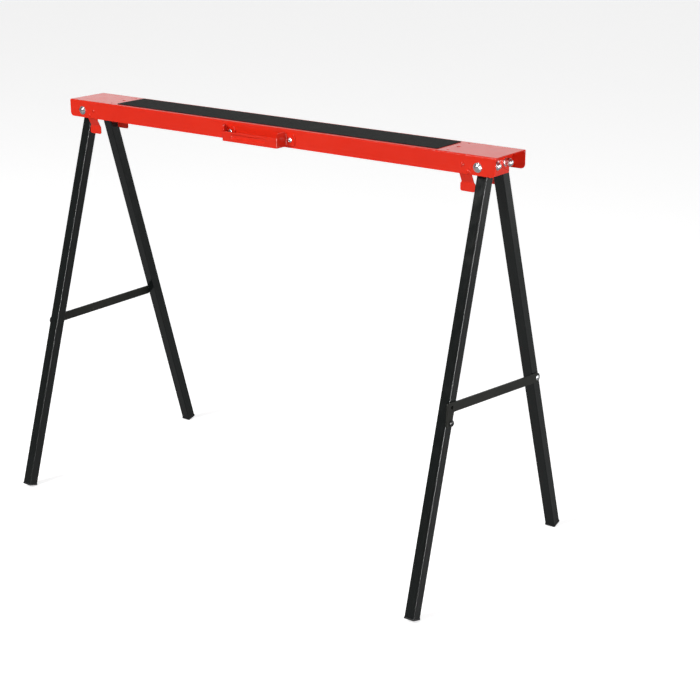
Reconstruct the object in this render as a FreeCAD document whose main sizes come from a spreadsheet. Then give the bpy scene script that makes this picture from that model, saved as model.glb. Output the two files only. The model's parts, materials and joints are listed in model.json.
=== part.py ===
import FreeCAD
import Part

import os
import re

import Sketcher

# Folding sawhorse. +X runs along the beam, +Z is up, and the origin lies on the floor under the
# middle of the beam. "Front" is the -Y side, which carries the handle; "right" is the +X end.
# The left leg set is the right one turned half a turn about the Z axis.

# Driving dimensions, in millimetres and degrees.
SIZES = [
    ("beam_length", 1015, "length of the beam"),
    ("beam_height", 783, "top face of the steel beam above the floor"),
    ("beam_width", 97, "outside width of the beam"),
    ("beam_sheet", 1.5, "sheet thickness of the beam"),
    ("wall_depth", 34, "height of the beam's side walls"),
    ("beam_bend", 3, "outer radius of the two bends along the beam"),
    ("beam_corner", 8, "radius of the lower corners of the walls"),
    ("timber_inset", 105, "rows of top holes, in from each end of the beam"),
    ("timber_row", 68, "spacing of the outer two holes in a row"),
    ("timber_hole", 4.5, "diameter of the outer top holes"),
    ("centre_hole", 7.5, "diameter of the middle top holes"),
    ("strip_length", 767, "length of the grip strip"),
    ("strip_width", 77, "width of the grip strip"),
    ("strip_thick", 1.2, "thickness of the grip strip"),
    ("strip_corner", 2, "corner radius of the grip strip"),
    ("pivot_inset", 35, "fold axis, in from the end of the beam"),
    ("pivot_drop", 20, "fold axis, below the top face"),
    ("spacer_thick", 2.1, "spacer between wall and bracket"),
    ("spacer_dia", 16, "diameter of that spacer"),
    ("bolt_dia", 8, "all pivot bolts"),
    ("bolt_tail", 1.5, "length of a bracket bolt past its nut"),
    ("pivot_fit", 0.1, "holes over bolts, more in diameter"),
    ("fixed_fit", 0.04, "holes over fixed fasteners, more in diameter"),
    ("collar_dia", 17, "flat collar under the heads of the bracket bolts"),
    ("collar_height", 1.2, "its height"),
    ("head_dia", 13.5, "domed heads of the bracket bolts"),
    ("head_height", 3, "their height above the collar"),
    ("nut_flats", 13, "width across flats of the nuts"),
    ("nut_height", 6.5, "height of the plain nuts"),
    ("nut_clear", 0.1, "bracket flange to nut"),
    ("bracket_sheet", 2, "sheet thickness of the leg brackets"),
    ("bracket_nose", 10, "flange from the fold axis to its inner, lower and upper edges"),
    ("bracket_nose_round", 9.8, "rounding of the flange's inner end"),
    ("bracket_slope", 7.2, "upper end of the flange's sloping edge, out from the fold axis"),
    ("bracket_rise", 15, "bracket above the fold axis"),
    ("bracket_drop", 20, "tongue of the bracket below the fold axis"),
    ("tongue_width", 64, "width of that tongue"),
    ("bracket_bend", 3, "outer bend radius of the bracket"),
    ("web_gap", 0.5, "legs to bracket web"),
    ("leg_size", 20.5, "outside of the square leg tube"),
    ("leg_wall", 1.2, "wall of the leg tube"),
    ("leg_round", 1.6, "outside corner radius of the leg tube"),
    ("leg_offset", 0.5, "leg centre plane, outward of the fold axis"),
    ("leg_shift", 2.4, "leg pivots, outward from midway between middle and bracket bolts"),
    ("leg_head", 10, "tube above its pivot"),
    ("splay", 16.47, "each leg from its closed position, degrees"),
    ("lean", 0.95, "outward lean of a leg set, degrees"),
    ("sleeve_dia", 11, "outside of the bush in the leg"),
    ("sleeve_proud", 0.2, "bush past each side of the tube"),
    ("leg_head_dia", 14, "round heads of the leg pivot bolts"),
    ("leg_head_height", 4, "their height"),
    ("leg_head_gap", 0.3, "bush to bolt head"),
    ("leg_washer_dia", 16, "washers outside the web"),
    ("leg_washer_thick", 1.5, "their thickness"),
    ("dome_nut_height", 13.5, "dome nuts, over all"),
    ("dome_height", 5.5, "the domed part of that"),
    ("dome_dia", 12, "diameter of the dome"),
    ("cap_size", 21.7, "outside of the foot caps"),
    ("cap_flange", 3, "thickness of their closed end"),
    ("cap_plug", 16, "plug inside the tube"),
    ("cap_fit", 0.1, "plug to tube, each side"),
    ("strut_reach", 443.4, "leg pivot to strut rivet or stud, along the leg"),
    ("strut_width", 17.6, "width of the struts"),
    ("strut_thick", 3, "thickness of the struts"),
    ("strut_corner", 3, "rounded corners at their free ends"),
    ("strut_washer", 0.6, "washer between leg and strut"),
    ("strut_washer_dia", 12.5, "its diameter"),
    ("strut_past", 14, "strut past the stud"),
    ("right_rise", 5.5, "slope of the latched right strut, degrees"),
    ("left_rise", 0, "slope of the latched left strut, degrees"),
    ("tab_width", 17, "hook tab of the right strut"),
    ("tab_past", 6, "its finger past the stud"),
    ("spare_hole", 7, "hole above the hook of the right strut"),
    ("rivet_dia", 6, "shanks of strut rivets and studs"),
    ("rivet_head", 10.5, "head of the strut rivets"),
    ("rivet_head_height", 2.4, "its height"),
    ("rivet_tail", 9, "tail inside the tube"),
    ("rivet_tail_height", 1.5, "its height"),
    ("stud_head", 12.8, "mushroom head of the studs"),
    ("stud_head_height", 4, "its height"),
    ("stud_gap", 0.5, "head to the latched strut"),
    ("hook_gap", 0.3, "hook to stud neck"),
    ("clip_inset", 25, "clips, in from the fold axis to their middle"),
    ("clip_width", 30, "width of clip plate and tab"),
    ("clip_neck", 25, "width of the clip's neck"),
    ("clip_sheet", 1.5, "sheet thickness of the clips"),
    ("clip_top", 8, "clip plate below the top face"),
    ("clip_root", 2.2, "flex line above the lower edge of the wall"),
    ("clip_split", 0.3, "gap along the flex line"),
    ("clip_neck_drop", 20.2, "flex line to shoulder"),
    ("clip_drop", 34.2, "flex line to end of the tab"),
    ("clip_step", 1.8, "inward step of the tab"),
    ("clip_corner", 4, "rounded corners of the tab"),
    ("clip_chamfer", 3, "sloped shoulders of the tab"),
    ("clip_rivet_dia", 3.6, "shanks of the clip rivets"),
    ("clip_rivet_head", 8.4, "their domed heads"),
    ("clip_rivet_height", 2, "height of those heads"),
    ("clip_rivet_tail", 0.3, "flat tail inside the clip plate"),
    ("clip_tail_dia", 5.6, "diameter of that tail"),
    ("upper_rivet_inset", 31.5, "upper clip rivet, in from the fold axis"),
    ("upper_rivet_drop", 18, "and below the top face"),
    ("lower_rivet_inset", 19, "lower clip rivet, in from the fold axis"),
    ("lower_rivet_drop", 29, "and below the top face"),
    ("strap_thick", 2, "sheet thickness of the handle"),
    ("strap_height", 27, "height of the handle's uprights"),
    ("strap_drop", 32, "lower edge of the handle, below the top face"),
    ("strap_reach", 29.5, "outer face of the grip, out from the wall"),
    ("grip_height", 18, "height of the grip"),
    ("grip_right", 60.5, "right end of the grip"),
    ("grip_left", 71.5, "left end of the grip, measured to the left"),
    ("foot_right", 80, "right end of the right foot"),
    ("foot_left", 88, "left end of the left foot, measured to the left"),
    ("foot_length_left", 26, "length of the left foot"),
    ("foot_step", 2, "feet above the lower edge of the handle"),
    ("foot_height", 21, "height of the feet"),
    ("foot_round_right", 5.25, "corners of the right foot"),
    ("foot_round_left", 8.4, "corners of the left foot"),
    ("groove_length", 84, "groove pressed in the grip"),
    ("groove_height", 9, "its height"),
    ("groove_depth", 1.2, "its depth"),
    ("groove_shift", -8, "its middle along the beam"),
    ("groove_rise", 10.44, "its middle above the lower edge of the grip"),
    ("screw_right", 69, "right handle screw"),
    ("screw_left", 76, "left handle screw, measured to the left"),
    ("screw_drop", 19, "handle screws below the top face"),
    ("screw_dia", 5, "handle screws"),
    ("screw_head", 9.4, "their heads"),
    ("screw_head_height", 2.6, "height of those heads"),
    ("screw_slot", 1.3, "width and depth of the driving slot"),
    ("screw_nut", 8, "width across flats of their nuts"),
    ("screw_nut_height", 4, "height of their nuts"),
    ("screw_tail", 0.8, "handle screw past its nut"),
]

doc = FreeCAD.newDocument("folding_sawhorse")
sheet = doc.addObject("Spreadsheet::Sheet", "dims")
for row, (alias, value, note) in enumerate(SIZES, start=1):
    sheet.set(f"A{row}", note)
    sheet.set(f"B{row}", str(value))
    sheet.setAlias(f"B{row}", alias)
doc.recompute()

SIZE_NAME = re.compile(r"\b(" + "|".join(alias for alias, _, _ in SIZES) + r")\b")

# Sizes that follow from the driving dimensions, as expressions.
HALF_WIDTH = "(beam_width / 2)"
INNER_WALL = "(beam_width / 2 - beam_sheet)"
WALL_BOTTOM = "(beam_height - wall_depth)"
PIVOT_X = "(beam_length / 2 - pivot_inset)"
PIVOT_Z = "(beam_height - pivot_drop)"
FLANGE_OUT = f"({INNER_WALL} - spacer_thick)"
FLANGE_IN = f"({FLANGE_OUT} - bracket_sheet)"
BOLT_TIP = f"({FLANGE_IN} - nut_clear - nut_height - bolt_tail)"
LEG_HALF = "(leg_size / 2)"
LEG_Y = f"({BOLT_TIP} / 2 + leg_shift)"
LEG_OUTSIDE = "(leg_offset + leg_size / 2)"
WEB_IN = f"({LEG_OUTSIDE} + web_gap)"
WEB_OUT = f"({WEB_IN} + bracket_sheet)"
STRUT_SPAN = f"(2 * ({LEG_Y} + strut_reach * sin(splay)))"
STRUT_FACE = "(leg_size / 2 + strut_washer)"
CLIP_X = f"({PIVOT_X} - clip_inset)"
CLIP_FLEX_Y = f"({INNER_WALL} - clip_sheet / 2)"
CLIP_FLEX_Z = f"({WALL_BOTTOM} + clip_root)"
STRAP_BOTTOM = "(beam_height - strap_drop)"
SCREW_Z = "(beam_height - screw_drop)"
TIMBER_X = "(beam_length / 2 - timber_inset)"
# The lowest point of a tilted foot cap, which has rounded upright corners, below its centre.
CAP_FLAT = "(cap_size / 2 - leg_round)"
CAP_TIP = (
    f"({CAP_FLAT} * (sin(lean) + sin(splay) * cos(lean))"
    " + leg_round * sqrt(sin(lean) ^ 2 + (sin(splay) * cos(lean)) ^ 2))"
)
FOOT_REACH = f"(({PIVOT_Z} + leg_offset * sin(lean) - {CAP_TIP}) / (cos(lean) * cos(splay)))"
# The two rivets of each clip, as insets and drops from the fold axis and the top face.
CLIP_RIVETS = [
    ("upper_rivet_inset", "upper_rivet_drop"),
    ("lower_rivet_inset", "lower_rivet_drop"),
]

X_AXIS = FreeCAD.Vector(1, 0, 0)
Y_AXIS = FreeCAD.Vector(0, 1, 0)
Z_AXIS = FreeCAD.Vector(0, 0, 1)
NO_TURN = FreeCAD.Rotation()
NEAR = 0.01  # for picking edges by their place
BEYOND = 1  # how far a cutting outline runs past what it cuts

nodes = []


# ---------------------------------------------------------------- helpers

def linked(expression):
    """The expression with every size name pointing at its cell in the sheet."""
    return SIZE_NAME.sub(r"dims.\1", expression)


def number(expression):
    """The present value of an expression of size names."""
    return float(sheet.evalExpression(expression))


def point(x, y, z):
    """A point whose three coordinates are expressions."""
    return FreeCAD.Vector(number(x), number(y), number(z))


def at(x, y, z, turn=NO_TURN):
    """A placement at a point given by expressions."""
    return FreeCAD.Placement(point(x, y, z), turn)


def facing(direction):
    """The turn that points a piece's own +Z axis along a direction."""
    return FreeCAD.Rotation(Z_AXIS, direction)


def keep(piece, label):
    """Make a finished object one of the exported nodes."""
    piece.Label = label
    nodes.append(piece)
    return piece


def new_object(kind, name, placement=None, **sizes):
    """A document object with its sizes bound to expressions."""
    item = doc.addObject(kind, name)
    for size, expression in sizes.items():
        item.setExpression(size, linked(expression))
    if placement is not None:
        item.Placement = placement
    return item


def box(name, length, width, height, placement):
    return new_object("Part::Box", name, placement, Length=length, Width=width, Height=height)


def rod(name, diameter, height, placement=None):
    return new_object("Part::Cylinder", name, placement, Radius=f"({diameter}) / 2", Height=height)


def dome(name, diameter, height, base):
    """A spherical cap that stands on z = base."""
    radius = f"((({diameter}) / 2) ^ 2 + ({height}) ^ 2) / (2 * ({height}))"
    cap = new_object("Part::Sphere", name, Radius=radius)
    cap.setExpression("Angle1", linked(f"asin(1 - ({height}) / ({radius}))"))
    cap.Placement = at("0", "0", f"({base}) + ({height}) - {radius}")
    return cap


def fuse(name, pieces, placement=None):
    joined = new_object("Part::MultiFuse", name, placement)
    joined.Shapes = pieces
    return joined


def cut(name, base, tool, placement=None):
    result = new_object("Part::Cut", name, placement)
    result.Base = base
    result.Tool = tool
    return result


def group(label, pieces):
    """Several identical loose solids kept as one node."""
    gathered = doc.addObject("Part::Compound", label)
    gathered.Links = pieces
    return keep(gathered, label)


def new_sketch(body, plane, name, offset="0"):
    """A sketch on one of a body's own origin planes, moved along that plane's normal."""
    sketch = body.newObject("Sketcher::SketchObject", f"{body.Name}_{name}")
    support = next(item for item in body.Origin.OriginFeatures if item.Role == plane)
    sketch.AttachmentSupport = [(support, "")]
    sketch.MapMode = "FlatFace"
    sketch.setExpression("AttachmentOffset.Base.z", linked(offset))
    return sketch


def fix_point(sketch, geometry, end, u, v):
    """Tie a point of a sketch to two expressions."""
    for kind, expression in (("DistanceX", u), ("DistanceY", v)):
        constraint = Sketcher.Constraint(kind, -1, 1, geometry, end, number(expression))
        index = sketch.addConstraint(constraint)
        sketch.setExpression(f"Constraints[{index}]", linked(expression))


def add_outline(sketch, corners, closed=True):
    """Straight lines through corners that are pairs of expressions."""
    places = [FreeCAD.Vector(number(u), number(v), 0) for u, v in corners]
    first = sketch.GeometryCount
    count = len(corners) if closed else len(corners) - 1
    for index in range(count):
        following = places[(index + 1) % len(places)]
        sketch.addGeometry(Part.LineSegment(places[index], following), False)
    for index in range(count):
        following = first + (index + 1) % count
        if closed or index < count - 1:
            sketch.addConstraint(Sketcher.Constraint("Coincident", first + index, 2, following, 1))
        fix_point(sketch, first + index, 1, *corners[index])
    if not closed:
        fix_point(sketch, first + count - 1, 2, *corners[-1])


def rectangle(sketch, left, right, bottom, top):
    add_outline(sketch, [(left, bottom), (right, bottom), (right, top), (left, top)])


def add_circle(sketch, u, v, diameter):
    centre = FreeCAD.Vector(number(u), number(v), 0)
    circle = sketch.addGeometry(Part.Circle(centre, Z_AXIS, number(diameter) / 2), False)
    fix_point(sketch, circle, 3, u, v)
    index = sketch.addConstraint(Sketcher.Constraint("Diameter", circle, number(diameter)))
    sketch.setExpression(f"Constraints[{index}]", linked(diameter))


def pad(body, sketch, length, side="One side", backward=False):
    feature = body.newObject("PartDesign::Pad", f"{sketch.Name}_pad")
    feature.Profile = sketch
    feature.SideType = side
    feature.Reversed = backward
    feature.setExpression("Length", linked(length))
    doc.recompute()
    return feature


def pocket(body, sketch, length=None, side="One side", backward=False):
    """Cut a sketch's outline out of a body, right through it unless a length is given."""
    volume = body.Shape.Volume
    feature = body.newObject("PartDesign::Pocket", f"{sketch.Name}_pocket")
    feature.Profile = sketch
    feature.SideType = side
    feature.Reversed = backward
    if length is None:
        feature.Type = "ThroughAll"
    else:
        feature.setExpression("Length", linked(length))
    doc.recompute()
    if body.Shape.Volume >= volume:
        raise RuntimeError(f"{feature.Name} cuts nothing")
    return feature


def bore(body, plane, name, places, diameter, side="Symmetric", backward=False):
    """Round holes at places that are pairs of expressions, right through a body."""
    sketch = new_sketch(body, plane, name)
    for u, v in places:
        add_circle(sketch, u, v, diameter)
    return pocket(body, sketch, side=side, backward=backward)


def runs_along(edge, axis):
    """Whether an edge is straight and parallel to an axis."""
    if edge.Curve.TypeId != "Part::GeomLine":
        return False
    return abs(edge.tangentAt(edge.FirstParameter).dot(axis)) > 1 - NEAR


def round_edges(body, radius, axis, places):
    """Fillet the edges that run along an axis through the given points, seen along that axis."""
    base = body.Tip
    names = []
    for index, edge in enumerate(base.Shape.Edges, start=1):
        if not runs_along(edge, axis):
            continue
        for place in places:
            away = edge.CenterOfMass - place
            if (away - axis * away.dot(axis)).Length < NEAR:
                names.append(f"Edge{index}")
                break
    fillet = body.newObject("PartDesign::Fillet", f"{body.Name}_round{len(body.Group)}")
    fillet.Base = (base, names)
    fillet.setExpression("Radius", linked(radius))
    doc.recompute()
    return fillet


def four_corners(axis, first, second):
    """The four points at plus and minus two distances, in the plane across an axis."""
    corners = []
    for one in (-1, 1):
        for two in (-1, 1):
            a = one * number(first)
            b = two * number(second)
            across = {"x": (0, a, b), "y": (a, 0, b), "z": (a, b, 0)}[axis]
            corners.append(FreeCAD.Vector(*across))
    return corners


def domed_bolt(name, head, head_height, shank, shank_length, placement, tail=None, collar=None):
    """A round-headed fastener. Its head stands on z = 0 and its shank points down."""
    pieces = [
        dome(f"{name}_head", head, head_height, collar[1] if collar else "0"),
        rod(f"{name}_shank", shank, shank_length, at("0", "0", f"-({shank_length})")),
    ]
    if collar is not None:
        pieces.append(rod(f"{name}_collar", *collar))
    if tail is not None:
        diameter, height = tail
        pieces.append(rod(f"{name}_tail", diameter, height, at("0", "0", f"-({shank_length})")))
    return fuse(name, pieces, placement)


def hex_block(name, flats, height):
    prism = new_object("Part::Prism", name, Circumradius=f"({flats}) / sqrt(3)", Height=height)
    prism.Polygon = 6
    return prism


def hex_nut(name, flats, height, thread, placement):
    bore_dia = f"({thread}) + fixed_fit"
    block = hex_block(f"{name}_block", flats, height)
    return cut(name, block, rod(f"{name}_bore", bore_dia, height), placement)


def ring(name, outer, inner, height, placement):
    disc = rod(f"{name}_disc", outer, height)
    return cut(name, disc, rod(f"{name}_bore", inner, height), placement)


# ---------------------------------------------------------------- beam

def wall_places(x, z, walls=(-1, 1)):
    """A place and its inward direction on the walls at both ends of the beam."""
    for end in ("right", "left"):
        for wall in walls:
            sign = 1 if end == "right" else -1
            tag = f"{'rear' if wall > 0 else 'front'}_{end}"
            yield tag, f"{sign} * {x}", wall, z


def beam_channel():
    body = doc.addObject("PartDesign::Body", "beam_channel")
    profile = new_sketch(body, "YZ_Plane", "profile")
    outside = [(f"-{HALF_WIDTH}", "beam_height"), (f"-{HALF_WIDTH}", WALL_BOTTOM)]
    inside = [
        (f"-{INNER_WALL}", WALL_BOTTOM),
        (f"-{INNER_WALL}", "beam_height - beam_sheet"),
        (INNER_WALL, "beam_height - beam_sheet"),
        (INNER_WALL, WALL_BOTTOM),
    ]
    add_outline(profile, outside + inside + [(HALF_WIDTH, WALL_BOTTOM), (HALF_WIDTH, "beam_height")])
    pad(body, profile, "beam_length", side="Symmetric")
    top = point("0", "0", "beam_height")
    under = point("0", "0", "beam_height - beam_sheet")
    outer = [top + Y_AXIS * side * number(HALF_WIDTH) for side in (-1, 1)]
    inner = [under + Y_AXIS * side * number(INNER_WALL) for side in (-1, 1)]
    round_edges(body, "beam_bend", X_AXIS, outer)
    round_edges(body, "beam_bend - beam_sheet", X_AXIS, inner)
    corners = [point(f"{side} * beam_length / 2", "0", WALL_BOTTOM) for side in (-1, 1)]
    round_edges(body, "beam_corner", Y_AXIS, corners)
    ends = [sign + TIMBER_X for sign in ("", "-")]
    middle = [(x, "0") for x in ends]
    outer_rows = [(x, f"{side} * timber_row / 2") for x in ends for side in (-1, 1)]
    bore(body, "XY_Plane", "centre_holes", middle, "centre_hole")
    bore(body, "XY_Plane", "timber_holes", outer_rows, "timber_hole")
    pivots = [(sign + PIVOT_X, PIVOT_Z) for sign in ("", "-")]
    bore(body, "XZ_Plane", "pivot_holes", pivots, "bolt_dia + fixed_fit")
    rivets = []
    for inset, drop in CLIP_RIVETS:
        rivets += [(f"{sign}({PIVOT_X} - {inset})", f"beam_height - {drop}") for sign in ("", "-")]
    bore(body, "XZ_Plane", "rivet_holes", rivets, "clip_rivet_dia + fixed_fit")
    screws = [("screw_right", SCREW_Z), ("-screw_left", SCREW_Z)]
    # Only the front wall: a pocket runs toward +Y from the middle plane unless it is reversed.
    bore(body, "XZ_Plane", "screw_holes", screws, "screw_dia + fixed_fit", "One side", True)
    return keep(body, "beam_channel")


def grip_strip():
    body = doc.addObject("PartDesign::Body", "grip_strip")
    sketch = new_sketch(body, "XY_Plane", "outline", "beam_height")
    half_length = "strip_length / 2"
    half_width = "strip_width / 2"
    rectangle(sketch, f"-{half_length}", half_length, f"-{half_width}", half_width)
    pad(body, sketch, "strip_thick")
    round_edges(body, "strip_corner", Z_AXIS, four_corners("z", half_length, half_width))
    return keep(body, "grip_strip")


def bracket_fasteners():
    """Bolts through the walls, spacers and nuts of the fold axis."""
    bolts, nuts, spacers = [], [], []
    shank = f"({HALF_WIDTH} - {BOLT_TIP})"
    for tag, x, wall, z in wall_places(PIVOT_X, PIVOT_Z):
        outward = facing(Y_AXIS * wall)
        head = at(x, f"{wall} * {HALF_WIDTH}", z, outward)
        sizes = ("head_dia", "head_height", "bolt_dia", shank)
        collar = ("collar_dia", "collar_height")
        bolts.append(domed_bolt(f"bracket_bolt_{tag}", *sizes, head, collar=collar))
        seat = at(x, f"{wall} * {FLANGE_OUT}", z, outward)
        spacers.append(ring(f"spacer_{tag}", "spacer_dia", "bolt_dia + fixed_fit", "spacer_thick", seat))
        nut_place = at(x, f"{wall} * ({FLANGE_IN} - nut_height - nut_clear)", z, outward)
        nuts.append(hex_nut(f"bracket_nut_{tag}", "nut_flats", "nut_height", "bolt_dia", nut_place))
    group("bracket_pivot_bolts", bolts)
    group("bracket_pivot_nuts", nuts)
    group("bracket_spacers", spacers)


def clip_rivets():
    rivets = []
    shank = "(beam_sheet + clip_sheet + clip_rivet_tail)"
    tail = ("clip_tail_dia", "clip_rivet_tail")
    for row, (inset, drop) in enumerate(CLIP_RIVETS):
        for tag, x, wall, z in wall_places(f"({PIVOT_X} - {inset})", f"beam_height - {drop}"):
            head = at(x, f"{wall} * {HALF_WIDTH}", z, facing(Y_AXIS * wall))
            name = f"clip_rivet_{tag}_{row}"
            sizes = ("clip_rivet_head", "clip_rivet_height", "clip_rivet_dia", shank)
            rivets.append(domed_bolt(name, *sizes, head, tail))
    group("clip_rivets", rivets)


def clip_plate(tag, x, wall):
    """The part of a clip that is riveted inside a wall."""
    bottom = f"({CLIP_FLEX_Z} + clip_split / 2)"
    height = f"beam_height - clip_top - {bottom}"
    inner_face = f"({INNER_WALL} - clip_sheet)"
    low_y = f"-{INNER_WALL}" if wall < 0 else inner_face
    corner = at(f"{x} - clip_width / 2", low_y, bottom)
    blank = box(f"clip_blank_{tag}", "clip_width", "clip_sheet", height, corner)
    end = "" if "right" in tag else "-"
    holes = []
    for row, (inset, drop) in enumerate(CLIP_RIVETS):
        place = at(f"{end}({PIVOT_X} - {inset})", low_y, f"beam_height - {drop}", facing(Y_AXIS))
        holes.append(rod(f"clip_hole_{tag}_{row}", "clip_rivet_dia + fixed_fit", "clip_sheet", place))
    keep(cut(f"clip_plate_{tag}", blank, fuse(f"clip_holes_{tag}", holes)), f"clip_plate_{tag}")


def clip_tab(tag, x, wall):
    """The springy part of a clip. Its own +Y points inward and its origin is on the flex line."""
    body = doc.addObject("PartDesign::Body", f"clip_tab_{tag}")
    profile = new_sketch(body, "YZ_Plane", "profile")
    half = "clip_sheet / 2"
    top = "-clip_split / 2"
    inner = [(half, top), (half, "-clip_root"), (f"clip_step + {half}", "-clip_neck_drop")]
    outer = [(f"clip_step - {half}", "-clip_neck_drop"), (f"-{half}", "-clip_root"), (f"-{half}", top)]
    end = [(f"clip_step + {half}", "-clip_drop"), (f"clip_step - {half}", "-clip_drop")]
    add_outline(profile, inner + end + outer)
    pad(body, profile, "clip_width", side="Symmetric")
    sides = new_sketch(body, "XZ_Plane", "neck")
    for sign in (-1, 1):
        neck = f"{sign} * clip_neck / 2"
        edge = f"{sign} * clip_width / 2"
        beyond = f"{sign} * clip_width"
        shoulder = [(neck, "-clip_neck_drop"), (edge, "-clip_neck_drop - clip_chamfer")]
        outside = [(beyond, "-clip_neck_drop - clip_chamfer"), (beyond, "clip_drop")]
        add_outline(sides, [(neck, "clip_drop")] + shoulder + outside)
    pocket(body, sides, side="Symmetric")
    corners = [point(f"{sign} * clip_width / 2", "0", "-clip_drop") for sign in (-1, 1)]
    round_edges(body, "clip_corner", Y_AXIS, corners)
    turn = NO_TURN if wall < 0 else FreeCAD.Rotation(Z_AXIS, 180)
    body.Placement = at(x, f"{wall} * {CLIP_FLEX_Y}", CLIP_FLEX_Z, turn)
    keep(body, f"clip_tab_{tag}")


# ---------------------------------------------------------------- handle

def strap_path():
    """The inner face of the bent handle strap, seen from above."""
    path = doc.addObject("Sketcher::SketchObject", "strap_path")
    wall = f"-{HALF_WIDTH}"
    left_foot = f"{wall} - strap_thick"
    grip = f"{wall} - strap_reach + strap_thick"
    corners = [
        ("foot_right", wall),
        ("grip_right - strap_thick", wall),
        ("grip_right - strap_thick", grip),
        ("-grip_left + strap_thick", grip),
        ("-foot_left + strap_thick", left_foot),
        ("-foot_left + foot_length_left", left_foot),
    ]
    add_outline(path, corners, closed=False)
    path.Placement = at("0", "0", STRAP_BOTTOM)
    return path


def handle_trims():
    """Blocks that narrow the grip and the two feet to their own heights."""
    wall = f"-{HALF_WIDTH}"
    feet_top = f"{STRAP_BOTTOM} + foot_step + foot_height"
    above_feet = "strap_height - foot_step - foot_height"
    grip_start = "-grip_left + 2 * strap_thick"
    grip_top = f"{STRAP_BOTTOM} + grip_height"
    grip_width = "grip_right + grip_left - 4 * strap_thick"
    grip_corner = at(grip_start, f"{wall} - strap_reach - {BEYOND}", grip_top)
    grip_depth = f"2 * strap_thick + {BEYOND}"
    trims = [box("grip_trim", grip_width, grip_depth, "strap_height", grip_corner)]
    feet = {
        "right": ("grip_right", "foot_right"),
        "left": ("-foot_left + 2 * strap_thick", "-foot_left + foot_length_left + strap_thick"),
    }
    for side, (start, finish) in feet.items():
        width = f"{finish} - ({start}) + {BEYOND}"
        for level, bottom, height in (
            ("top", feet_top, above_feet),
            ("bottom", STRAP_BOTTOM, "foot_step"),
        ):
            corner = at(start, f"{wall} - strap_thick", bottom)
            trims.append(box(f"foot_trim_{side}_{level}", width, "strap_thick", height, corner))
    return trims


def groove_cutter():
    """A long groove with round ends, sunk into the outer face of the grip."""
    face = f"-{HALF_WIDTH} - strap_reach"
    middle_z = f"{STRAP_BOTTOM} + groove_rise"
    straight = "groove_length - groove_height"
    start = f"groove_shift - ({straight}) / 2"
    corner = at(start, face, f"{middle_z} - groove_height / 2")
    pieces = [box("groove_middle", straight, "groove_depth", "groove_height", corner)]
    for name, x in (("left", start), ("right", f"groove_shift + ({straight}) / 2")):
        end = at(x, face, middle_z, facing(Y_AXIS))
        pieces.append(rod(f"groove_{name}", "groove_height", "groove_depth", end))
    return pieces


def carry_handle():
    outline = new_object("Part::Offset2D", "strap_outline")
    outline.Source = strap_path()
    outline.Mode = "Skin"
    outline.Join = "Arc"
    outline.Fill = True
    outline.setExpression("Value", linked("-strap_thick"))
    strap = new_object("Part::Extrusion", "strap", LengthFwd="strap_height")
    strap.Base = outline
    strap.DirMode = "Custom"
    strap.Dir = Z_AXIS
    strap.Solid = True
    holes = []
    for name, x in (("right", "screw_right"), ("left", "-screw_left")):
        place = at(x, f"-{HALF_WIDTH} - strap_thick", SCREW_Z, facing(Y_AXIS))
        holes.append(rod(f"strap_hole_{name}", "screw_dia + fixed_fit", "strap_thick", place))
    tools = fuse("strap_tools", handle_trims() + groove_cutter() + holes)
    rough = cut("strap_rough", strap, tools)
    doc.recompute()
    free_ends = []
    for index, edge in enumerate(rough.Shape.Edges, start=1):
        centre = edge.CenterOfMass
        at_end = min(abs(centre.x - number(x)) for x in ("foot_right", "-foot_left + foot_length_left"))
        if runs_along(edge, Y_AXIS) and at_end < NEAR:
            radius = number("foot_round_right" if centre.x > 0 else "foot_round_left")
            free_ends.append((index, radius, radius))
    handle = doc.addObject("Part::Fillet", "carry_handle")
    handle.Base = rough
    handle.Edges = free_ends
    return keep(handle, "carry_handle")


def handle_fasteners():
    screws, nuts = [], []
    shank = "(strap_thick + beam_sheet + screw_nut_height + screw_tail)"
    for name, x in (("right", "screw_right"), ("left", "-screw_left")):
        head = at(x, f"-{HALF_WIDTH} - strap_thick", SCREW_Z, facing(-Y_AXIS))
        sizes = ("screw_head", "screw_head_height", "screw_dia", shank)
        blank = domed_bolt(f"screw_blank_{name}", *sizes, at("0", "0", "0"))
        corner = at("-screw_slot / 2", "-screw_head / 2", "screw_head_height - screw_slot")
        slot = box(f"screw_slot_{name}", "screw_slot", "screw_head", "screw_slot", corner)
        screws.append(cut(f"handle_screw_{name}", blank, slot, head))
        seat = at(x, f"-{INNER_WALL}", SCREW_Z, facing(Y_AXIS))
        nuts.append(hex_nut(f"handle_nut_{name}", "screw_nut", "screw_nut_height", "screw_dia", seat))
    group("handle_screws", screws)
    group("handle_nuts", nuts)


# ---------------------------------------------------------------- leg sets
# Each set is drawn in its own frame: the origin is on the fold axis, +X points out of the end of
# the beam, and the legs hang down. PINNED is the leg that carries the strut, on the set's own +Y
# side, and HOOKED is the leg whose stud the strut hooks over.

PINNED = 1
HOOKED = -1


def set_frame(end):
    """The frame of a leg set, leaning outward."""
    right = at(PIVOT_X, "0", PIVOT_Z, FreeCAD.Rotation(Y_AXIS, -number("lean")))
    if end == "right":
        return right
    return FreeCAD.Placement(FreeCAD.Vector(), FreeCAD.Rotation(Z_AXIS, 180)) * right


def leg_frame(end, leg):
    """The frame of one leg: the origin is on its pivot and -Z runs down the tube."""
    turn = FreeCAD.Rotation(X_AXIS, leg * number("splay"))
    return set_frame(end) * at("leg_offset", f"{leg} * {LEG_Y}", "0", turn)


def leg_name(end, leg):
    """Front or rear leg: the left set is turned round, so its own +Y points to the front."""
    rear = (leg == PINNED) == (end == "right")
    return f"{'rear' if rear else 'front'}_{end}"


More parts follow.
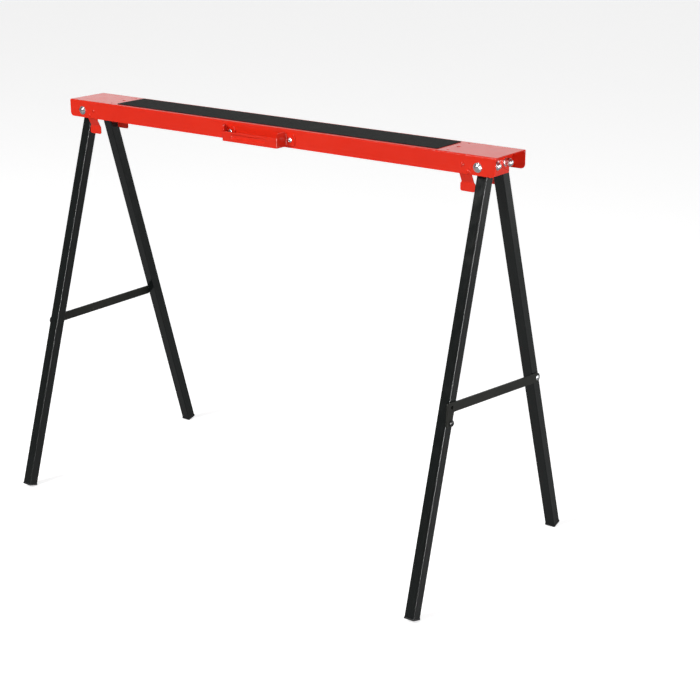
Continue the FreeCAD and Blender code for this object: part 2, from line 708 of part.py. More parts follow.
def leg_bracket(end):
    label = f"leg_bracket_{end}"
    body = doc.addObject("PartDesign::Body", label)
    flange = new_sketch(body, "XZ_Plane", "flange")
    nose = "bracket_nose"
    lower = [(f"-{nose}", f"-{nose}"), (WEB_OUT, f"-{nose}")]
    upper = [(WEB_OUT, "bracket_rise"), ("bracket_slope", "bracket_rise"), ("0", nose)]
    add_outline(flange, lower + upper + [(f"-{nose}", nose)])
    pad(body, flange, f"2 * {FLANGE_OUT}", side="Symmetric")
    hollow = new_sketch(body, "YZ_Plane", "hollow", WEB_IN)
    rectangle(hollow, f"-{FLANGE_IN}", FLANGE_IN, "-bracket_drop", f"bracket_rise + {BEYOND}")
    pocket(body, hollow)
    tongue = new_sketch(body, "YZ_Plane", "tongue", WEB_IN)
    rectangle(tongue, "-tongue_width / 2", "tongue_width / 2", "-bracket_drop", "0")
    pad(body, tongue, "bracket_sheet")
    bore(body, "XZ_Plane", "fold_holes", [("0", "0")], "bolt_dia + pivot_fit")
    pivots = [(f"{leg} * {LEG_Y}", "0") for leg in (PINNED, HOOKED)]
    bore(body, "YZ_Plane", "leg_holes", pivots, "bolt_dia + fixed_fit")
    noses = [point(f"-{nose}", "0", f"{sign} * {nose}") for sign in (-1, 1)]
    round_edges(body, "bracket_nose_round", Y_AXIS, noses)
    bends = [point(WEB_OUT, f"{sign} * {FLANGE_OUT}", "0") for sign in (-1, 1)]
    round_edges(body, "bracket_bend", Z_AXIS, bends)
    tips = [point("0", f"{sign} * tongue_width / 2", "-bracket_drop") for sign in (-1, 1)]
    round_edges(body, "bracket_bend", X_AXIS, tips)
    body.Placement = set_frame(end)
    keep(body, label)


def leg_pivot_hardware(end):
    """Bolts that stand out of the web, with washers and dome nuts outside."""
    bolts, washers, nuts = [], [], []
    inner_end = f"(leg_offset - {LEG_HALF} - sleeve_proud - leg_head_gap)"
    washer_out = f"({WEB_OUT} + leg_washer_thick)"
    block = "(dome_nut_height - dome_height)"
    shank = f"({washer_out} - {inner_end} + {block})"
    for leg in (PINNED, HOOKED):
        tag = leg_name(end, leg)
        y = f"{leg} * {LEG_Y}"
        frame = set_frame(end)
        head = frame * at(inner_end, y, "0", facing(-X_AXIS))
        sizes = ("leg_head_dia", "leg_head_height", "bolt_dia", shank)
        bolts.append(domed_bolt(f"leg_bolt_{tag}", *sizes, head))
        seat = frame * at(WEB_OUT, y, "0", facing(X_AXIS))
        sizes = ("leg_washer_dia", "bolt_dia + fixed_fit", "leg_washer_thick")
        washers.append(ring(f"leg_washer_{tag}", *sizes, seat))
        flats = hex_block(f"dome_nut_flats_{tag}", "nut_flats", block)
        top = dome(f"dome_nut_top_{tag}", "dome_dia", "dome_height", block)
        body = fuse(f"dome_nut_body_{tag}", [flats, top])
        bore_tool = rod(f"dome_nut_bore_{tag}", "bolt_dia + fixed_fit", block)
        seat = frame * at(washer_out, y, "0", facing(X_AXIS))
        nuts.append(cut(f"dome_nut_{tag}", body, bore_tool, seat))
    group(f"leg_pivot_bolts_{end}", bolts)
    group(f"leg_pivot_washers_{end}", washers)
    group(f"leg_dome_nuts_{end}", nuts)


def leg_tube(end, leg):
    label = f"leg_tube_{leg_name(end, leg)}"
    body = doc.addObject("PartDesign::Body", label)
    sketch = new_sketch(body, "XY_Plane", "section", "leg_head")
    bore_half = f"({LEG_HALF} - leg_wall)"
    for half in (LEG_HALF, bore_half):
        rectangle(sketch, f"-{half}", half, f"-{half}", half)
    pad(body, sketch, f"leg_head + {FOOT_REACH} - cap_flange", backward=True)
    round_edges(body, "leg_round", Z_AXIS, four_corners("z", LEG_HALF, LEG_HALF))
    round_edges(body, "leg_round - leg_wall", Z_AXIS, four_corners("z", bore_half, bore_half))
    bore(body, "YZ_Plane", "sleeve_hole", [("0", "0")], "sleeve_dia + fixed_fit")
    # Only the outer wall: a pocket runs toward -X from the middle plane unless it is reversed.
    rivet = [("0", "-strut_reach")]
    bore(body, "YZ_Plane", "rivet_hole", rivet, "rivet_dia + fixed_fit", "One side", True)
    body.Placement = leg_frame(end, leg)
    keep(body, label)


def leg_sleeve(end, leg):
    label = f"leg_sleeve_{leg_name(end, leg)}"
    start = at(f"-({LEG_HALF} + sleeve_proud)", "0", "0", facing(X_AXIS))
    length = f"2 * ({LEG_HALF} + sleeve_proud)"
    sleeve = ring(label, "sleeve_dia", "bolt_dia + pivot_fit", length, leg_frame(end, leg) * start)
    keep(sleeve, label)


def foot_cap(end, leg):
    label = f"foot_cap_{leg_name(end, leg)}"
    body = doc.addObject("PartDesign::Body", label)
    half = "cap_size / 2"
    sole = new_sketch(body, "XY_Plane", "sole", f"-{FOOT_REACH}")
    rectangle(sole, f"-{half}", half, f"-{half}", half)
    pad(body, sole, "cap_flange")
    round_edges(body, "leg_round", Z_AXIS, four_corners("z", half, half))
    plug_half = f"({LEG_HALF} - leg_wall - cap_fit)"
    plug = new_sketch(body, "XY_Plane", "plug", f"-{FOOT_REACH} + cap_flange")
    rectangle(plug, f"-{plug_half}", plug_half, f"-{plug_half}", plug_half)
    pad(body, plug, "cap_plug")
    round_edges(body, "leg_round - leg_wall", Z_AXIS, four_corners("z", plug_half, plug_half))
    body.Placement = leg_frame(end, leg)
    keep(body, label)


def strut_rivet(end):
    """The rivet that a strut turns on, through washer and outer tube wall."""
    label = f"strut_rivet_{end}"
    frame = leg_frame(end, PINNED)
    head = at(f"{STRUT_FACE} + strut_thick + pivot_fit", "0", "-strut_reach", facing(X_AXIS))
    shank = "(strut_thick + pivot_fit + strut_washer + leg_wall + rivet_tail_height)"
    sizes = ("rivet_head", "rivet_head_height", "rivet_dia", shank)
    tail = ("rivet_tail", "rivet_tail_height")
    keep(domed_bolt(label, *sizes, frame * head, tail), label)
    seat = at(LEG_HALF, "0", "-strut_reach", facing(X_AXIS))
    label = f"strut_washer_{end}"
    sizes = ("strut_washer_dia", "rivet_dia + fixed_fit", "strut_washer")
    keep(ring(label, *sizes, frame * seat), label)


def latch_stud(end):
    """The mushroom stud that a strut hooks over."""
    label = f"latch_stud_{end}"
    out = f"{STRUT_FACE} + strut_thick + stud_gap"
    head = at(out, "0", "-strut_reach", facing(X_AXIS))
    shank = f"({out} - {LEG_HALF} + leg_wall + rivet_tail_height)"
    sizes = ("stud_head", "stud_head_height", "rivet_dia", shank)
    tail = ("rivet_tail", "rivet_tail_height")
    keep(domed_bolt(label, *sizes, leg_frame(end, HOOKED) * head, tail), label)


def strut(end, rise):
    """A flat bar. Its origin is on its rivet, the bar runs to its own -Y, and +X is outward."""
    label = f"strut_{end}"
    body = doc.addObject("PartDesign::Body", label)
    half = "strut_width / 2"
    stud_y = f"(-{STRUT_SPAN} * cos({rise}))"
    stud_z = f"(-{STRUT_SPAN} * sin({rise}))"
    tip = f"({stud_y} - strut_past)"
    neck = "(rivet_dia / 2 + hook_gap)"
    finger_end = f"({stud_z} - tab_past)"
    hooked_down = end == "right"
    if hooked_down:
        tab = [(tip, finger_end), (f"{tip} + tab_width", finger_end), (f"{tip} + tab_width", f"-{half}")]
    else:
        tab = [(tip, f"-{half}")]
    bar = new_sketch(body, "YZ_Plane", "bar")
    add_outline(bar, [("0", half), (tip, half)] + tab + [("0", f"-{half}")])
    pad(body, bar, "strut_thick")
    eye = new_sketch(body, "YZ_Plane", "eye")
    add_circle(eye, "0", "0", "strut_width")
    pad(body, eye, "strut_thick")
    bore(body, "YZ_Plane", "rivet_hole", [("0", "0")], "rivet_dia + pivot_fit")
    bore(body, "YZ_Plane", "stud_hole", [(stud_y, stud_z)], f"2 * {neck}")
    notch = new_sketch(body, "YZ_Plane", "notch")
    if hooked_down:
        inside = f"{tip} + tab_width + {BEYOND}"
        under = f"{finger_end} - {BEYOND}"
        add_outline(notch, [
            (inside, f"{stud_z} + {neck}"),
            (stud_y, f"{stud_z} + {neck}"),
            (stud_y, stud_z),
            (f"{stud_y} - {neck}", stud_z),
            (f"{stud_y} - {neck}", under),
            (inside, under),
        ])
    else:
        # The notch follows the stud, which drops and moves in as the strut swings up.
        slope = f"atan({STRUT_SPAN} * (90 - {rise}) / (2 * strut_reach * cos(splay) * splay))"
        along = (f"cos({slope})", f"-sin({slope})")
        across = (f"sin({slope})", f"cos({slope})")
        corners = []
        for forward, sideways in ((0, 1), (0, -1), (1, -1), (1, 1)):
            corners.append((
                f"{stud_y} + {forward} * strut_width * {along[0]} + {sideways} * {neck} * {across[0]}",
                f"{stud_z} + {forward} * strut_width * {along[1]} + {sideways} * {neck} * {across[1]}",
            ))
        add_outline(notch, corners)
    pocket(body, notch, side="Symmetric")
    if hooked_down:
        bore(body, "YZ_Plane", "spare_hole", [(stud_y, "0")], "spare_hole")
    corners = [point("0", tip, half), point("0", tip, finger_end if hooked_down else f"-{half}")]
    round_edges(body, "strut_corner", X_AXIS, corners)
    leg = set_frame(end) * at("leg_offset", LEG_Y, "0")
    pivot = ("strut_reach * sin(splay)", "-strut_reach * cos(splay)")
    tilt = FreeCAD.Rotation(X_AXIS, -number(rise))
    body.Placement = leg * at(STRUT_FACE, *pivot, tilt)
    keep(body, label)


# ---------------------------------------------------------------- the whole object

beam_channel()
grip_strip()
carry_handle()
handle_fasteners()
bracket_fasteners()
clip_rivets()
for tag, x, wall, _ in wall_places(CLIP_X, CLIP_FLEX_Z):
    clip_plate(tag, x, wall)
    clip_tab(tag, x, wall)
for end in ("right", "left"):
    leg_bracket(end)
    leg_pivot_hardware(end)
    for leg in (PINNED, HOOKED):
        leg_tube(end, leg)
        leg_sleeve(end, leg)
        foot_cap(end, leg)
    strut_rivet(end)
    latch_stud(end)
strut("right", "right_rise")
strut("left", "left_rise")

doc.recompute()
for item in doc.Objects:
    if "Invalid" in item.State or "Error" in item.State:
        raise RuntimeError(f"{item.Name} failed: {item.State}")
for node in nodes:
    if node.Shape.isNull() or not node.Shape.isValid():
        raise RuntimeError(f"{node.Label} has no valid shape")

os.makedirs("parts", exist_ok=True)
for node in nodes:
    node.Shape.exportStep(f"parts/{node.Label}.step")
    extent = node.Shape.BoundBox
    print(
        f"{node.Label}: {len(node.Shape.Solids)} solids, {node.Shape.Volume:.0f} mm3,"
        f" x {extent.XMin:.1f}..{extent.XMax:.1f} y {extent.YMin:.1f}..{extent.YMax:.1f}"
        f" z {extent.ZMin:.2f}..{extent.ZMax:.2f}"
    )
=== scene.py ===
import json
import math

import bmesh
import bpy
from mathutils import Matrix, Vector


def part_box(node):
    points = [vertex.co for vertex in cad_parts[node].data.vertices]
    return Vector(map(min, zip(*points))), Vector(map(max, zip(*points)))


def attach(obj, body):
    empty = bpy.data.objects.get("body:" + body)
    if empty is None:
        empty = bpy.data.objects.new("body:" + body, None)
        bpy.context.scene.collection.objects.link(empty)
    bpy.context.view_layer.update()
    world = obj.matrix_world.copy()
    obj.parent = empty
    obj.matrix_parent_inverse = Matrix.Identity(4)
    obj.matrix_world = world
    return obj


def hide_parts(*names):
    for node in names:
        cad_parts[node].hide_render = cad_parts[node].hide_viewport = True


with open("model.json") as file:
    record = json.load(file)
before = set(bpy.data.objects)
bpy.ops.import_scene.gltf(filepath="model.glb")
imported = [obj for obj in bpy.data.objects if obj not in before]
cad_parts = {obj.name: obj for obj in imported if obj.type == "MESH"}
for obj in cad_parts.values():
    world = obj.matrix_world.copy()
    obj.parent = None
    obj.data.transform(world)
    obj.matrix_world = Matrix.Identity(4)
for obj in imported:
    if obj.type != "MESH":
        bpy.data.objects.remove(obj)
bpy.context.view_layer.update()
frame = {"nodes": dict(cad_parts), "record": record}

MM = 0.001
NODES = frame["nodes"]


# ------------------------------------------------------------------ materials

NOISE_LOW, NOISE_HIGH = 0.3, 0.7  # nearly all of a noise lies between these
GLOSS_SPREAD = 0.05  # how much a coat's roughness varies either way
CLOUD_SCALE, SMEAR_SCALE = 9, 60  # per metre
PEEL_DEPTH = 0.01 * MM


def new_material(name):
    """A material with its node tree and its shader."""
    material = bpy.data.materials.new(name)
    material.use_nodes = True
    tree = material.node_tree
    shader = tree.nodes["Principled BSDF"]
    return material, tree, shader


def place(tree, coordinates="Object"):
    """Texture coordinates in metres, fixed to the piece."""
    return tree.nodes.new("ShaderNodeTexCoord").outputs[coordinates]


def noise(tree, scale, detail=2.0, roughness=0.5, vector=None):
    node = tree.nodes.new("ShaderNodeTexNoise")
    node.inputs["Scale"].default_value = scale
    node.inputs["Detail"].default_value = detail
    node.inputs["Roughness"].default_value = roughness
    tree.links.new(vector or place(tree), node.inputs["Vector"])
    return node.outputs["Fac"]


def remap(tree, value, low_in, high_in, low_out, high_out):
    node = tree.nodes.new("ShaderNodeMapRange")
    node.inputs["From Min"].default_value = low_in
    node.inputs["From Max"].default_value = high_in
    node.inputs["To Min"].default_value = low_out
    node.inputs["To Max"].default_value = high_out
    tree.links.new(value, node.inputs["Value"])
    return node.outputs["Result"]


def spread(tree, value, low_out, high_out):
    """A noise stretched over a range."""
    return remap(tree, value, NOISE_LOW, NOISE_HIGH, low_out, high_out)


def blend_colours(tree, factor, first, second):
    """A mix of two colours. Each is a tuple or the output of another node."""
    node = tree.nodes.new("ShaderNodeMix")
    node.data_type = "RGBA"
    tree.links.new(factor, node.inputs["Factor"])
    for socket, colour in (("A", first), ("B", second)):
        target = [i for i in node.inputs if i.name == socket and i.type == "RGBA"][0]
        if isinstance(colour, tuple):
            target.default_value = (*colour, 1)
        else:
            tree.links.new(colour, target)
    return [o for o in node.outputs if o.type == "RGBA"][0]


def bump(tree, height, depth, normal=None):
    """A bump whose full height range is depth metres."""
    node = tree.nodes.new("ShaderNodeBump")
    node.inputs["Strength"].default_value = 1.0
    node.inputs["Distance"].default_value = depth
    tree.links.new(height, node.inputs["Height"])
    if normal is not None:
        tree.links.new(normal, node.inputs["Normal"])
    return node.outputs["Normal"]


def coated(name, colour, shade, roughness, peel_size, gloss_level=0.5):
    """Powder coat: slight change of shade, uneven gloss and orange peel."""
    material, tree, shader = new_material(name)
    cloud = noise(tree, CLOUD_SCALE, 3)
    tone = blend_colours(tree, spread(tree, cloud, 0, 1), colour, shade)
    tree.links.new(tone, shader.inputs["Base Color"])
    smear = noise(tree, SMEAR_SCALE, 4)
    gloss = spread(tree, smear, roughness - GLOSS_SPREAD, roughness + GLOSS_SPREAD)
    tree.links.new(gloss, shader.inputs["Roughness"])
    peel = noise(tree, 1 / peel_size, 1.5)
    tree.links.new(bump(tree, peel, PEEL_DEPTH), shader.inputs["Normal"])
    shader.inputs["Specular IOR Level"].default_value = gloss_level
    return material


def grip_rubber():
    """Non-slip strip: sharp grit on a matt black ground."""
    material, tree, shader = new_material("grip_strip")
    grit = noise(tree, 2600, 3, 0.7)
    coarse = noise(tree, 900, 2)
    speck = remap(tree, grit, 0.5, 0.72, 0, 1)
    tone = blend_colours(tree, speck, (0.014, 0.015, 0.014), (0.034, 0.035, 0.033))
    tree.links.new(tone, shader.inputs["Base Color"])
    tree.links.new(spread(tree, coarse, 0.75, 0.95), shader.inputs["Roughness"])
    shader.inputs["Specular IOR Level"].default_value = 0.16
    rough = bump(tree, coarse, 0.15 * MM)
    tree.links.new(bump(tree, grit, 0.12 * MM, normal=rough), shader.inputs["Normal"])
    return material


def zinc():
    """Bright zinc plate with slight clouding and fine tool marks."""
    material, tree, shader = new_material("zinc_plate")
    shader.inputs["Metallic"].default_value = 1.0
    cloud = noise(tree, 220, 3)
    tone = blend_colours(tree, cloud, (0.78, 0.79, 0.8), (0.6, 0.63, 0.66))
    tree.links.new(tone, shader.inputs["Base Color"])
    fine = noise(tree, 1500, 3)
    tree.links.new(spread(tree, fine, 0.2, 0.32), shader.inputs["Roughness"])
    tree.links.new(bump(tree, fine, 0.01 * MM), shader.inputs["Normal"])
    return material


def black_plastic():
    """Moulded plastic with a fine spark-eroded grain."""
    material, tree, shader = new_material("foot_plastic")
    grain = noise(tree, 2200, 2)
    tone = blend_colours(tree, noise(tree, 40, 2), (0.016, 0.016, 0.017), (0.024, 0.024, 0.025))
    tree.links.new(tone, shader.inputs["Base Color"])
    tree.links.new(spread(tree, grain, 0.5, 0.68), shader.inputs["Roughness"])
    tree.links.new(bump(tree, grain, 0.04 * MM), shader.inputs["Normal"])
    return material


RED = coated(
    "red_powder_coat",
    colour=(0.86, 0.03, 0.011),
    shade=(0.82, 0.026, 0.01),
    roughness=0.2,
    peel_size=1.6 * MM,
    gloss_level=0.3,
)
BLACK = coated(
    "black_powder_coat",
    colour=(0.0055, 0.0075, 0.0072),
    shade=(0.007, 0.009, 0.0085),
    roughness=0.2,
    peel_size=1.2 * MM,
    gloss_level=0.45,
)
STRUT = coated(
    "strut_black",
    colour=(0.022, 0.023, 0.019),
    shade=(0.014, 0.015, 0.013),
    roughness=0.38,
    peel_size=1.0 * MM,
    gloss_level=0.25,
)
OXIDE = coated(
    "black_oxide",
    colour=(0.018, 0.018, 0.019),
    shade=(0.026, 0.025, 0.024),
    roughness=0.3,
    peel_size=0.8 * MM,
)

# Each finish with the radius of its pieces' edges.
FINISHES = {
    "red_paint": (RED, 0.35 * MM),
    "black_paint": (BLACK, 0.25 * MM),
    "strut_paint": (STRUT, 0.35 * MM),
    "grip_rubber": (grip_rubber(), 0.3 * MM),
    "zinc_steel": (zinc(), 0.25 * MM),
    "black_plastic": (black_plastic(), 0.6 * MM),
    "black_steel": (OXIDE, 0.3 * MM),
}


# ------------------------------------------------------------------ CAD nodes

WELD_DISTANCE = 0.001 * MM
FLAT_ANGLE = math.radians(0.5)  # faces that meet at less are one face
EDGE_ANGLE = math.radians(30)  # edges that are sharper get the radius


def round_over(piece, width):
    """Merge the node's split vertices and give its sharp edges a small radius."""
    mesh = piece.data
    if "custom_normal" in mesh.attributes:
        mesh.attributes.remove(mesh.attributes["custom_normal"])
    for polygon in mesh.polygons:
        polygon.use_smooth = True
    weld = piece.modifiers.new("weld", "WELD")
    weld.merge_threshold = WELD_DISTANCE
    flat = piece.modifiers.new("flat", "DECIMATE")
    flat.decimate_type = "DISSOLVE"
    flat.angle_limit = FLAT_ANGLE
    bevel = piece.modifiers.new("edges", "BEVEL")
    bevel.width = width
    bevel.segments = 2
    bevel.limit_method = "ANGLE"
    bevel.angle_limit = EDGE_ANGLE
    bevel.use_clamp_overlap = True
    normals = piece.modifiers.new("normals", "WEIGHTED_NORMAL")
    normals.keep_sharp = True


for row in frame["record"]["subparts"]:
    piece = NODES[row["node"]]
    material, radius = FINISHES[row["material_slot"]]
    piece.data.materials.clear()
    piece.data.materials.append(material)
    round_over(piece, radius)


# ------------------------------------------------------------------ sheet metal

def loft(name, rings):
    """A closed red piece through rings that have the same number of points."""
    mesh = bmesh.new()
    loops = [[mesh.verts.new(point) for point in ring] for ring in rings]
    for first, second in zip(loops, loops[1:]):
        for index in range(len(first)):
            following = (index + 1) % len(first)
            mesh.faces.new((first[index], first[following], second[following], second[index]))
    mesh.faces.new(loops[0])
    mesh.faces.new(loops[-1])
    bmesh.ops.recalc_face_normals(mesh, faces=mesh.faces)
    data = bpy.data.meshes.new(name)
    mesh.to_mesh(data)
    mesh.free()
    piece = bpy.data.objects.new(name, data)
    bpy.context.scene.collection.objects.link(piece)
    data.materials.append(RED)
    return piece


def corner_inset(left, radius):
    """How far a rounded corner has drawn in the side, at a distance from the end."""
    if left >= radius:
        return 0
    return radius - math.sqrt(max(0, radius ** 2 - (radius - left) ** 2))


# ------------------------------------------------------------------ clip tabs

TAB_STEP = 7.8 * MM  # how far the neck leads the tab inward
TAB_ROOT = 2.2 * MM  # straight part above the upper bend
TAB_SHEET = 1.5 * MM
TAB_BEND = 3.0 * MM  # how far each bend spreads along the sheet
NECK_SHARE = 0.51  # of the height, from the flex line to the shoulder
NECK_WIDTH = 25 * MM
SHOULDER = 3.0 * MM
TAB_CORNER = 4.0 * MM
TAB_ROWS = 72
TILT_REACH = 0.1 * MM  # the sheet's slope is taken this far to either side


def ease(value, middle, spread):
    """A ramp that is flat before the middle and straight after it, with a round bend."""
    away = value - middle
    if away <= -spread:
        return 0.0
    if away >= spread:
        return away
    return (away + spread) ** 2 / (4 * spread)


def clip_row(drop, height, full_half):
    """How far in the sheet stands, and how wide half of it is, at a drop below the flex line."""
    knee = height * NECK_SHARE
    slope = TAB_STEP / (knee - TAB_ROOT)
    spread = TAB_BEND / 2
    inward = slope * (ease(drop, TAB_ROOT, spread) - ease(drop, knee, spread))
    if drop < knee:
        half = NECK_WIDTH / 2
    elif drop < knee + SHOULDER:
        half = NECK_WIDTH / 2 + (full_half - NECK_WIDTH / 2) * (drop - knee) / SHOULDER
    else:
        half = full_half
    if height - drop < TAB_CORNER:
        half = full_half - corner_inset(height - drop, TAB_CORNER)
    return inward, half


def spring_clip(tag):
    """The bent spring tab of a clip: root, sloping neck and a wider tab with round corners."""
    low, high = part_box(f"clip_tab_{tag}")
    wall = -1 if "front" in tag else 1
    root_y = high.y if wall > 0 else low.y
    centre_x = (low.x + high.x) / 2
    full_half = (high.x - low.x) / 2
    height = high.z - low.z
    rows = []
    for index in range(TAB_ROWS + 1):
        drop = height * math.sin(math.pi / 2 * index / TAB_ROWS)
        inward, half = clip_row(drop, height, full_half)
        ahead, _ = clip_row(min(height, drop + TILT_REACH), height, full_half)
        behind, _ = clip_row(max(0, drop - TILT_REACH), height, full_half)
        tilt = math.atan2(ahead - behind, 2 * TILT_REACH)
        row = []
        for side, face in ((-1, -0.5), (1, -0.5), (1, 0.5), (-1, 0.5)):
            into = inward + TAB_SHEET * (0.5 + face * math.cos(tilt))
            rise = TAB_SHEET * face * math.sin(tilt)
            row.append((centre_x + side * half, root_y - wall * into, high.z - drop + rise))
        rows.append(row)
    piece = loft(f"spring_clip_{tag}", rows)
    _, radius = FINISHES["red_paint"]
    round_over(piece, radius)
    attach(piece, f"clip_{tag}")
    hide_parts(f"clip_tab_{tag}")


for clip_tag in ("front_right", "front_left", "rear_right", "rear_left"):
    spring_clip(clip_tag)


# ------------------------------------------------------------------ handle

SHEET = 2 * MM
BEND = 2.5 * MM  # radius of the bends, at the middle of the sheet
RIM = 0.35 * MM  # rounding of the sheet's edges
GRIP_HEIGHT = 18 * MM
UPRIGHT_X = 59.5 * MM  # middle of the sheet of the right upright
GRIP_END_X = -70 * MM  # where the grip meets the slanting left upright
FOOT_LENGTH_LEFT = 26 * MM
FOOT_LOW, FOOT_HIGH = 2 * MM, 23 * MM
FOOT_ROUND_RIGHT, FOOT_ROUND_LEFT = 5.25 * MM, 8.4 * MM
GROOVE_LENGTH, GROOVE_HEIGHT, GROOVE_DEPTH = 84 * MM, 9 * MM, 2.6 * MM
GROOVE_WALL = 2.3 * MM  # height of each sloping side of the groove
GROOVE_X, GROOVE_RISE = -8 * MM, 10.44 * MM
STRAP_ROWS = 40
STRAP_SPACING = 0.8 * MM
BEND_STEPS = 10
STEP_START, STEP_LENGTH = 0.3 * MM, 2.4 * MM  # where the height changes from foot to upright
GRIP_STEP_START, GRIP_STEP_LENGTH = 2.4 * MM, 2.1 * MM  # and from upright to grip


def smooth(value):
    """0 to 1 with a soft start and end."""
    value = min(1.0, max(0.0, value))
    return value * value * (3 - 2 * value)


def strap_line(low, high):
    """Points and sideways directions along the middle of the sheet, with round bends."""
    wall = high.y - SHEET / 2
    front = low.y + SHEET / 2
    corners = [
        Vector((high.x, wall)),
        Vector((UPRIGHT_X, wall)),
        Vector((UPRIGHT_X, front)),
        Vector((GRIP_END_X, front)),
        Vector((low.x + SHEET / 2, wall)),
        Vector((low.x + FOOT_LENGTH_LEFT, wall)),
    ]
    line = []

    def straight(start, finish):
        way = finish - start
        count = max(2, round(way.length / STRAP_SPACING))
        side = Vector((-way.y, way.x)).normalized()
        line.extend((start + way * index / count, side) for index in range(count + 1))

    start = corners[0]
    for before, corner, after in zip(corners, corners[1:], corners[2:]):
        arriving = (corner - before).normalized()
        leaving = (after - corner).normalized()
        turn = math.atan2(arriving.x * leaving.y - arriving.y * leaving.x, arriving.dot(leaving))
        reach = BEND * math.tan(abs(turn) / 2)
        straight(start, corner - arriving * reach)
        side = Vector((-arriving.y, arriving.x)) * math.copysign(1, turn)
        centre = corner - arriving * reach + side * BEND
        for index in range(1, BEND_STEPS):
            swing = Matrix.Rotation(turn * index / BEND_STEPS, 2)
            facing = swing @ side
            line.append((centre - facing * BEND, facing * math.copysign(1, turn)))
        start = corner + leaving * reach
    straight(start, corners[-1])
    return line


def strap_span(point, low, high):
    """Lower and upper edge of the strap at a point of its middle line."""
    out = high.y - SHEET / 2 - point.y
    depth = high.y - low.y - SHEET
    full = high.z - low.z
    foot = 1 - smooth((out - STEP_START) / STEP_LENGTH)
    grip = smooth((out - depth + GRIP_STEP_START) / GRIP_STEP_LENGTH)
    bottom = FOOT_LOW * foot
    top = full + (FOOT_HIGH - full) * foot
    top += (GRIP_HEIGHT - top) * grip
    if foot > 0.99:
        inset = corner_inset(high.x - point.x, FOOT_ROUND_RIGHT)
        inset += corner_inset(abs(low.x + FOOT_LENGTH_LEFT - point.x), FOOT_ROUND_LEFT)
        bottom, top = bottom + inset, top - inset
    return bottom, top


def groove(point, rise, low):
    """How deep the grip is pressed in at a point."""
    if point.y > low.y + SHEET:
        return 0
    half = (GROOVE_LENGTH - GROOVE_HEIGHT) / 2
    beside = max(0, abs(point.x - GROOVE_X) - half)
    away = math.hypot(beside, rise - GROOVE_RISE)
    return GROOVE_DEPTH * smooth((GROOVE_HEIGHT / 2 - away) / GROOVE_WALL)


def pressed_handle():
    """The strap handle as one bent sheet, with rounded edges and a pressed groove."""
    low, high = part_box("carry_handle")
    half = SHEET / 2
    slant = RIM * (1 - math.sqrt(0.5))
    rings = []
    for point, side in strap_line(low, high):
        bottom, top = strap_span(point, low, high)
        flat = top - bottom - 2 * RIM
        rises = [bottom + RIM + flat * row / STRAP_ROWS for row in range(STRAP_ROWS + 1)]
        outline = [(half, rise) for rise in rises]
        outline += [(half - slant, top - slant), (half - RIM, top)]
        outline += [(RIM - half, top), (slant - half, top - slant)]
        outline += [(-half, rise) for rise in reversed(rises)]
        outline += [(slant - half, bottom + slant), (RIM - half, bottom)]
        outline += [(half - RIM, bottom), (half - slant, bottom + slant)]
        ring = []
        for out, rise in outline:
            spot = point + side * (out - groove(point, rise, low))
            ring.append((spot.x, spot.y, low.z + rise))
        rings.append(ring)
    piece = loft("pressed_handle", rings)
    for polygon in piece.data.polygons:
        polygon.use_smooth = len(polygon.vertices) == 4
    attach(piece, "beam")
    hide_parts("carry_handle")


pressed_handle()


# ------------------------------------------------------------------ studio

FLOOR_SIZE = 40
FLOOR_SEEN, FLOOR_FELT = 0.64, 0.02  # glow towards the camera, and towards everything else
FLOOR_BOUNCE = (0.4, 0.4, 0.4)  # its tone for light that doesn't go to the camera
WORLD_DIM, WORLD_BAND = 0.14, 1.0


def stage_floor():
    """A floor that looks nearly white, yet throws little light up at the object."""
    bpy.ops.mesh.primitive_plane_add(size=FLOOR_SIZE, location=(0, 0, 0))
    floor = bpy.context.object
    floor.name = "studio_floor"
    material, tree, shader = new_material("studio_floor")
    soft = noise(tree, 3, 2)
    tone = blend_colours(tree, soft, (0.8, 0.8, 0.8), (0.82, 0.82, 0.82))
    seen = tree.nodes.new("ShaderNodeLightPath").outputs["Is Camera Ray"]
    tree.links.new(blend_colours(tree, seen, FLOOR_BOUNCE, tone), shader.inputs["Base Color"])
    shader.inputs["Roughness"].default_value = 0.9
    shader.inputs["Specular IOR Level"].default_value = 0.1
    shader.inputs["Emission Color"].default_value = (1, 1, 1, 1)
    glow = remap(tree, seen, 0, 1, FLOOR_FELT, FLOOR_SEEN)
    tree.links.new(glow, shader.inputs["Emission Strength"])
    floor.data.materials.append(material)


def softbox(name, location, target, size, power):
    """A rectangular light that faces a target, in metres and watts."""
    light = bpy.data.lights.new(name, "AREA")
    light.shape = "RECTANGLE"
    light.size, light.size_y = size
    light.energy = power
    lamp = bpy.data.objects.new(name, light)
    lamp.location = location
    lamp.rotation_mode = "QUATERNION"
    lamp.rotation_quaternion = (Vector(target) - Vector(location)).to_track_quat("-Z", "Y")
    lamp.visible_camera = False
    bpy.context.scene.collection.objects.link(lamp)
    return lamp


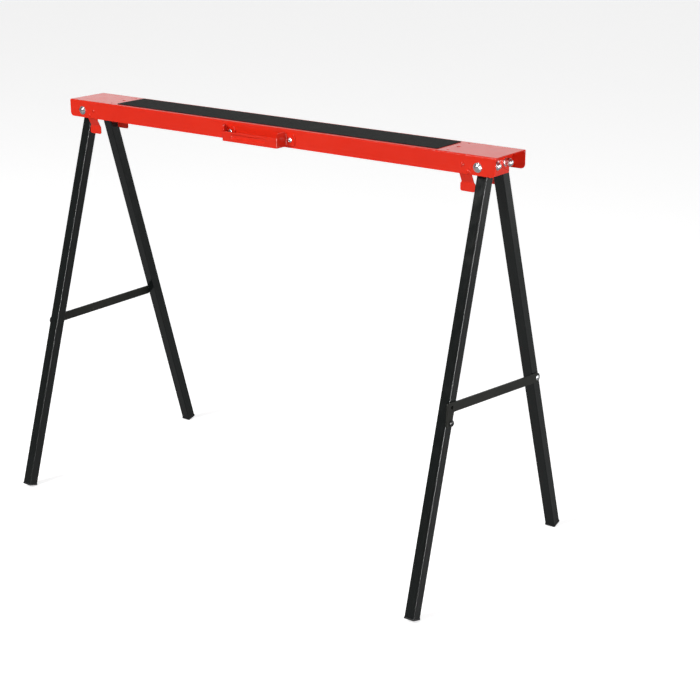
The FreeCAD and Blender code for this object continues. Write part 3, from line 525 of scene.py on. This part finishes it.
def surroundings():
    """A dim room with a bright band low behind the object, which the top face reflects."""
    world = bpy.data.worlds.new("studio")
    bpy.context.scene.world = world
    world.use_nodes = True
    tree = world.node_tree
    split = tree.nodes.new("ShaderNodeSeparateXYZ")
    tree.links.new(place(tree, "Generated"), split.inputs[0])
    behind = remap(tree, split.outputs["Y"], 0.1, 0.6, 0, 1)
    under_top = remap(tree, split.outputs["Z"], 0.5, 0.8, 1, 0)
    band = tree.nodes.new("ShaderNodeMath")
    band.operation = "MULTIPLY"
    tree.links.new(behind, band.inputs[0])
    tree.links.new(under_top, band.inputs[1])
    background = tree.nodes["Background"]
    background.inputs["Color"].default_value = (1, 1, 1, 1)
    strength = remap(tree, band.outputs[0], 0, 1, WORLD_DIM, WORLD_BAND)
    tree.links.new(strength, background.inputs["Strength"])


def studio_lights():
    surroundings()
    softbox("key", (-1.2, -3.4, 3.0), (0, 0, 0.75), (1.3, 0.9), 112)
    softbox("overhead", (-0.2, -1.2, 3.6), (0, 0, 0.75), (1.6, 1.0), 10)
    softbox("strip_light", (2.5, -2.9, 0.95), (0.2, 0, 0.6), (0.25, 1.7), 30)
    softbox("right_panel", (3.0, 0.5, 1.0), (0.3, 0, 0.6), (1.0, 1.0), 21)
    edge_light = softbox("edge_light", (2.5, -1.5, 0.75), (0.4, -0.1, 0.5), (0.3, 1.5), 90)
    edge_light.visible_diffuse = False  # only draws highlights along the rounded edges
    softbox("low_panel", (2.4, 2.1, 0.5), (0.4, 0, 0.4), (2.0, 1.0), 2.5)


SENSOR_WIDTH, LENS = 36, 78.33  # in mm
CAMERA_PLACE = (1.80985, -2.19376, 1.28893)
CAMERA_TURN, CAMERA_DROP = 36.801, 18.621  # degrees about the upright axis, and below level


def camera():
    """The camera of the reference view, on a square frame."""
    data = bpy.data.cameras.new("camera")
    data.sensor_width = SENSOR_WIDTH
    data.lens = LENS
    data.clip_end = 100
    item = bpy.data.objects.new("camera", data)
    bpy.context.scene.collection.objects.link(item)
    turn = Matrix.Rotation(math.radians(CAMERA_TURN), 4, "Z")
    tilt = Matrix.Rotation(math.radians(90 - CAMERA_DROP), 4, "X")
    item.matrix_world = Matrix.Translation(CAMERA_PLACE) @ turn @ tilt
    bpy.context.scene.camera = item


stage_floor()
studio_lights()
camera()
bpy.context.scene.view_settings.view_transform = "Standard"
